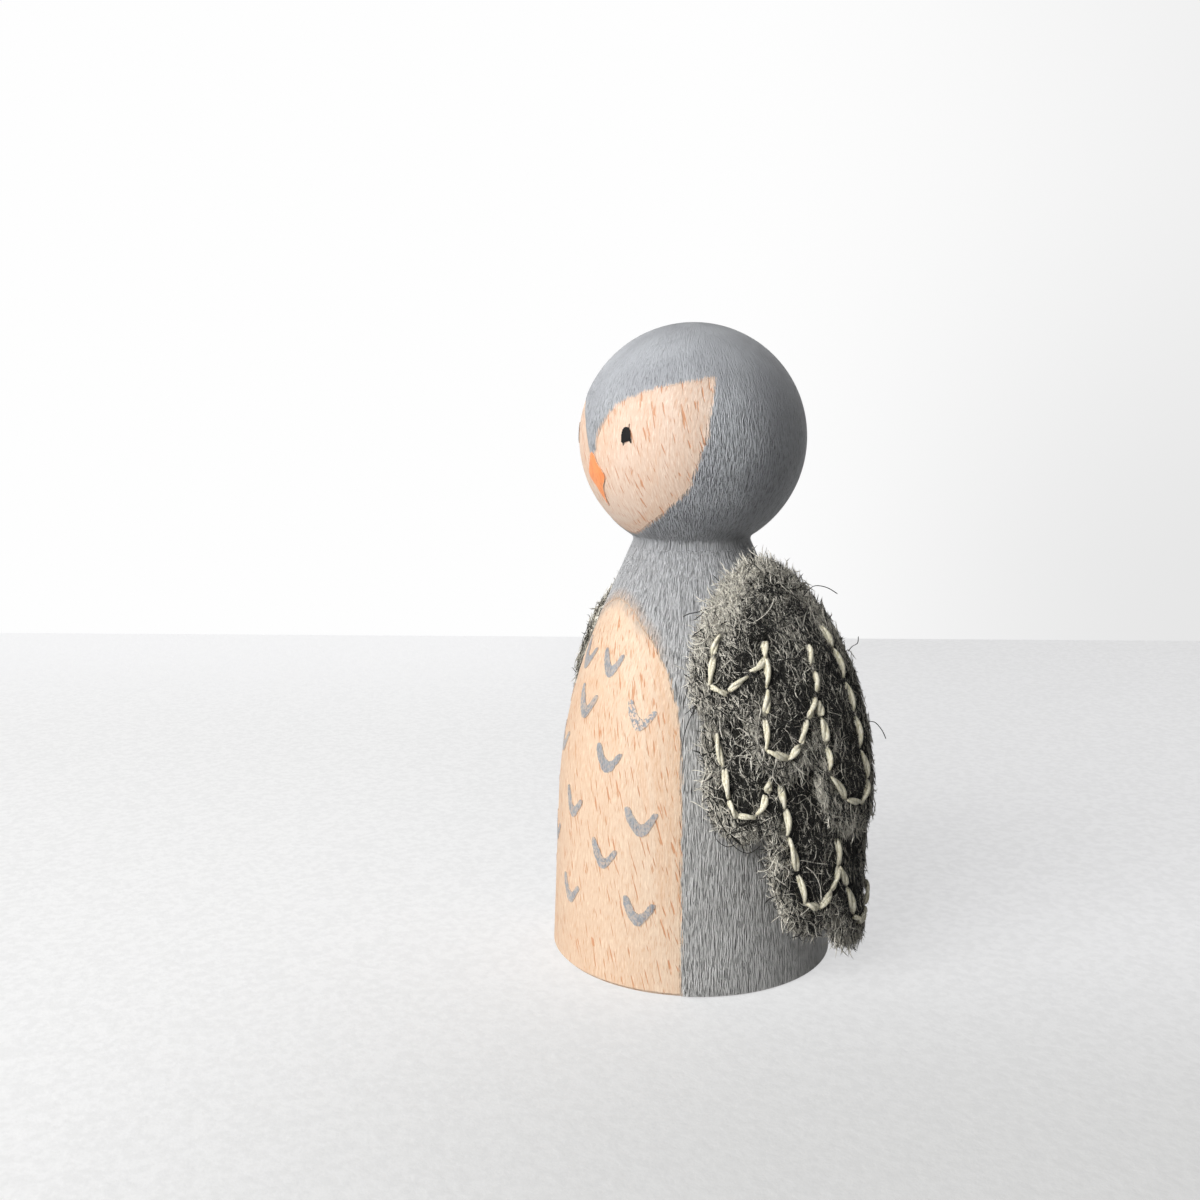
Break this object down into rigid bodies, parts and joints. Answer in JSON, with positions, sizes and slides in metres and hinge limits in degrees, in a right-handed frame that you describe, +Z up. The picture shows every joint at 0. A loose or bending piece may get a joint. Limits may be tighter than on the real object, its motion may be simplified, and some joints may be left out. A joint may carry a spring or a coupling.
{
  "type": "peg doll",
  "caption": "Turned wooden peg doll painted as a small grey bird, with layered felt wings sewn in backstitch; it stands on its flat foot.",
  "frame": {"origin": "centre of the flat foot, on the surface the doll stands on", "axes": "+Z up along the axis the peg is turned about; the face looks along -Y; the doll's own left wing is at +X"},
  "size_m": [0.0374, 0.0295, 0.0651],
  "materials": {
    "beech": "sanded, unvarnished",
    "slate_paint": "brushed matt acrylic",
    "beak_paint": "brushed matt acrylic",
    "eye_ink": "matt ink",
    "wool_felt": "fuzzy pressed felt",
    "cotton_thread": "stranded embroidery cotton",
    "dried_glue": "clear dried craft glue"
  },
  "bodies": {
    "root": {"turned_peg": "beech", "slate_coat": "slate_paint", "beak_paint": "beak_paint", "eye_paint": "eye_ink", "breast_ticks": "slate_paint", "left_flight_layer": "wool_felt", "left_covert_layer": "wool_felt", "left_wing_glue": "dried_glue", "left_covert_stitch_front": "cotton_thread", "left_covert_stitch_middle": "cotton_thread", "left_covert_stitch_rear": "cotton_thread", "left_flight_stitch_front": "cotton_thread", "left_flight_stitch_middle": "cotton_thread", "left_flight_stitch_rear": "cotton_thread", "right_flight_layer": "wool_felt", "right_covert_layer": "wool_felt", "right_wing_glue": "dried_glue", "right_covert_stitch_front": "cotton_thread", "right_covert_stitch_middle": "cotton_thread", "right_covert_stitch_rear": "cotton_thread", "right_flight_stitch_front": "cotton_thread", "right_flight_stitch_middle": "cotton_thread", "right_flight_stitch_rear": "cotton_thread"}
  },
  "joints": []
}
